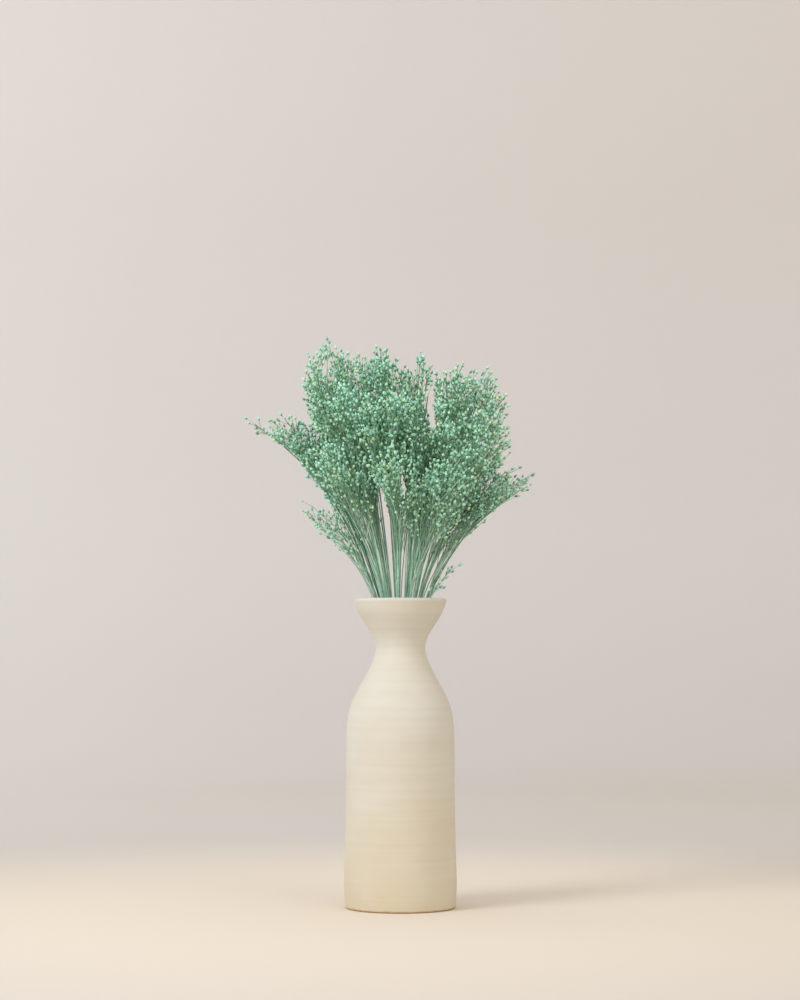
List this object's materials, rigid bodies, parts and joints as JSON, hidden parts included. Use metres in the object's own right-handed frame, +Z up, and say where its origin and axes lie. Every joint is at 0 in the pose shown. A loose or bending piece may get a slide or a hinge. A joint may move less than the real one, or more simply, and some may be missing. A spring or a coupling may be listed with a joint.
{
  "type": "vase of dried broom blooms",
  "caption": "Waisted bottle vase with a flared mouth, holding a loose fan of dried, finely forked stems tipped with small seed capsules.",
  "frame": {"origin": "middle of the underside of the vase's foot", "axes": "+Z up along the vase's turning axis, -Y towards the viewer of the front, +X to that viewer's right"},
  "size_m": [0.2984, 0.2513, 0.5579],
  "materials": {
    "stoneware": "matte slip with fine throwing lines",
    "dried_stems": "dried and dyed, matte"
  },
  "bodies": {
    "root": {"vase": "stoneware", "spray_back": "dried_stems", "spray_back_left": "dried_stems", "spray_back_right": "dried_stems", "spray_far_left": "dried_stems", "spray_front": "dried_stems", "spray_front_left_low": "dried_stems", "spray_front_low": "dried_stems", "spray_front_right": "dried_stems", "spray_front_right_low": "dried_stems", "spray_left_crown": "dried_stems", "spray_left_edge": "dried_stems", "spray_left_front": "dried_stems", "spray_left_low": "dried_stems", "spray_left_peak": "dried_stems", "spray_left_wing": "dried_stems", "spray_left_wing_back": "dried_stems", "spray_mid_crown": "dried_stems", "spray_right_back": "dried_stems", "spray_right_crown": "dried_stems", "spray_right_edge": "dried_stems", "spray_right_front": "dried_stems", "spray_right_low": "dried_stems", "spray_right_shoulder": "dried_stems", "spray_right_sprig": "dried_stems", "spray_right_wing": "dried_stems", "spray_tuft": "dried_stems"}
  },
  "joints": []
}
